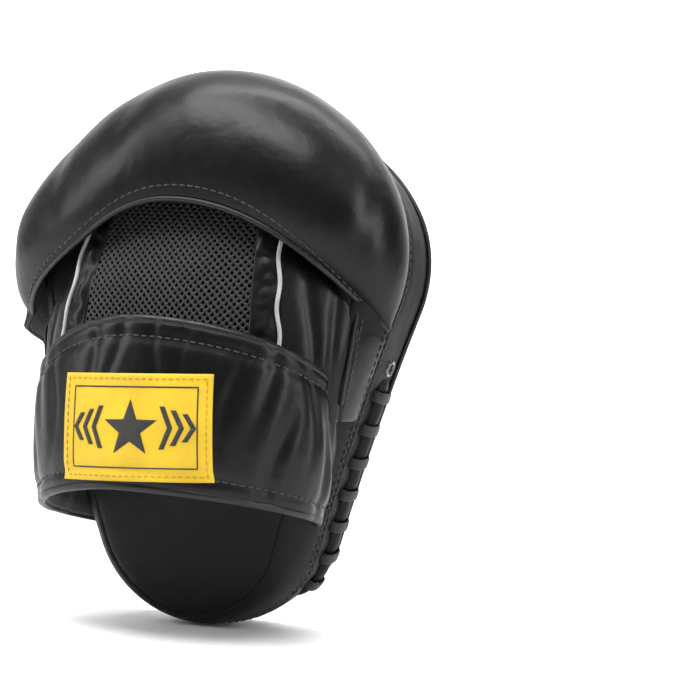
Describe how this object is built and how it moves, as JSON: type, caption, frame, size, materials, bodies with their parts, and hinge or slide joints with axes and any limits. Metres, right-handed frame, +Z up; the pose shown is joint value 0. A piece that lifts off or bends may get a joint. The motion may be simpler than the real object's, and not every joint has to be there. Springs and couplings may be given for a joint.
{
  "type": "focus mitt",
  "caption": "Padded boxing target worn on one hand: bent egg-shaped striking pad, finger hood, mesh hand sleeve, padded cuff and laced flanks.",
  "frame": {"origin": "bottom centre of the whole mitt's box, under the pad's tip", "axes": "+Z up to the fingertips, +Y out of the striking face, -Y is the hand side, +X is to the right seen from the hand side"},
  "size_m": [0.202, 0.1316, 0.271],
  "materials": {
    "matte_leather": "matte",
    "gloss_leather": "glossy",
    "foam": "matte",
    "soft_foam": "matte",
    "lining": "matte",
    "mesh": "matte",
    "binding": "satin",
    "piping": "satin",
    "label": "satin",
    "lace": "satin",
    "eyelet": "gloss",
    "strap": "matte"
  },
  "bodies": {
    "mitt": {"strike_face": "matte_leather", "face_welt": "binding", "side_band": "matte_leather", "impact_foam_front": "foam", "impact_foam_core": "foam", "impact_foam_rear": "soft_foam", "rear_gusset": "matte_leather", "back_panel": "matte_leather", "lace_flap_left": "matte_leather", "lace_flap_right": "matte_leather", "lace_left": "lace", "lace_right": "lace", "lace_eyelets": "eyelet", "sleeve_mesh": "mesh", "sleeve_strip_left": "gloss_leather", "sleeve_strip_right": "gloss_leather", "sleeve_piping_left": "piping", "sleeve_piping_right": "piping", "side_panel_left": "gloss_leather", "side_panel_right": "gloss_leather", "palm_ball_cover": "gloss_leather", "palm_ball_core": "soft_foam", "finger_strap": "strap", "thumb_loop": "strap"},
    "hood": {"hood_shell": "gloss_leather", "hood_padding": "soft_foam", "hood_lining": "lining", "hood_binding": "binding"},
    "cuff": {"cuff_shell": "gloss_leather", "cuff_padding": "soft_foam", "cuff_lining": "lining", "cuff_binding_top": "binding", "cuff_binding_bottom": "binding", "label_patch": "label"}
  },
  "joints": [
    {"name": "hood_flex", "type": "hinge", "parent": "mitt", "child": "hood", "pos_m": [0, 0.03958, 0.26195], "axis": [-1, 0, 0], "range_deg": [0, 10], "stiffness_Nm_per_rad": 2},
    {"name": "cuff_give", "type": "slide", "parent": "mitt", "child": "cuff", "axis": [0, -1, 0], "range_m": [0, 0.008], "stiffness_N_per_m": 1500}
  ]
}
